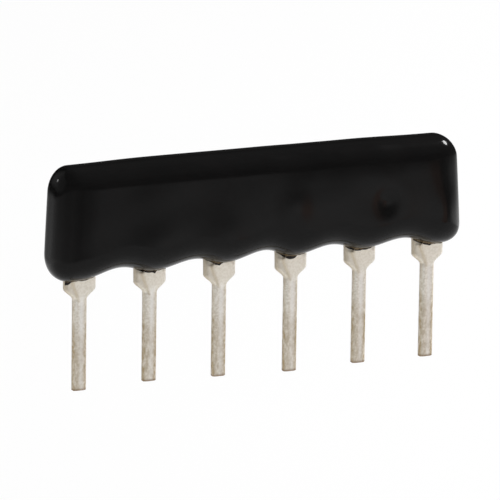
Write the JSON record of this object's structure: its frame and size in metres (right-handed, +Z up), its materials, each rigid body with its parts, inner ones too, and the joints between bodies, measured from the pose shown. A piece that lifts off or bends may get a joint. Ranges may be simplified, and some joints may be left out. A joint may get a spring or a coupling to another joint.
{
  "type": "resistor network",
  "caption": "Single-in-line resistor network: a black dipped epoxy bar with rounded corners over a row of flat tinned clip leads for a circuit board.",
  "frame": {"origin": "middle of the row of leads, at the level where the narrow legs begin below their tapers, which is where the part stops on a circuit board", "axes": "+X along the row of leads from the common lead, -Y out of the face that the films are on, +Z up from the board"},
  "size_m": [0.0148, 0.002, 0.0077],
  "materials": {
    "epoxy_coat": "glossy dipped epoxy",
    "tinned_lead": "satin hot tinned",
    "alumina": "fired, matt",
    "fired_silver": "fired film, matt",
    "resistor_film": "fired film, matt",
    "overglaze_glass": "fired glass, glossy",
    "solder": "satin"
  },
  "bodies": {
    "root": {"coating": "epoxy_coat", "substrate": "alumina", "bus_conductor": "fired_silver", "overglaze": "overglaze_glass", "terminal_1": "tinned_lead", "terminal_2": "tinned_lead", "terminal_3": "tinned_lead", "terminal_4": "tinned_lead", "terminal_5": "tinned_lead", "terminal_6": "tinned_lead", "solder_1": "solder", "solder_2": "solder", "solder_3": "solder", "solder_4": "solder", "solder_5": "solder", "solder_6": "solder", "pad_2": "fired_silver", "pad_3": "fired_silver", "pad_4": "fired_silver", "pad_5": "fired_silver", "pad_6": "fired_silver", "resistor_1": "resistor_film", "resistor_2": "resistor_film", "resistor_3": "resistor_film", "resistor_4": "resistor_film", "resistor_5": "resistor_film"}
  },
  "joints": []
}
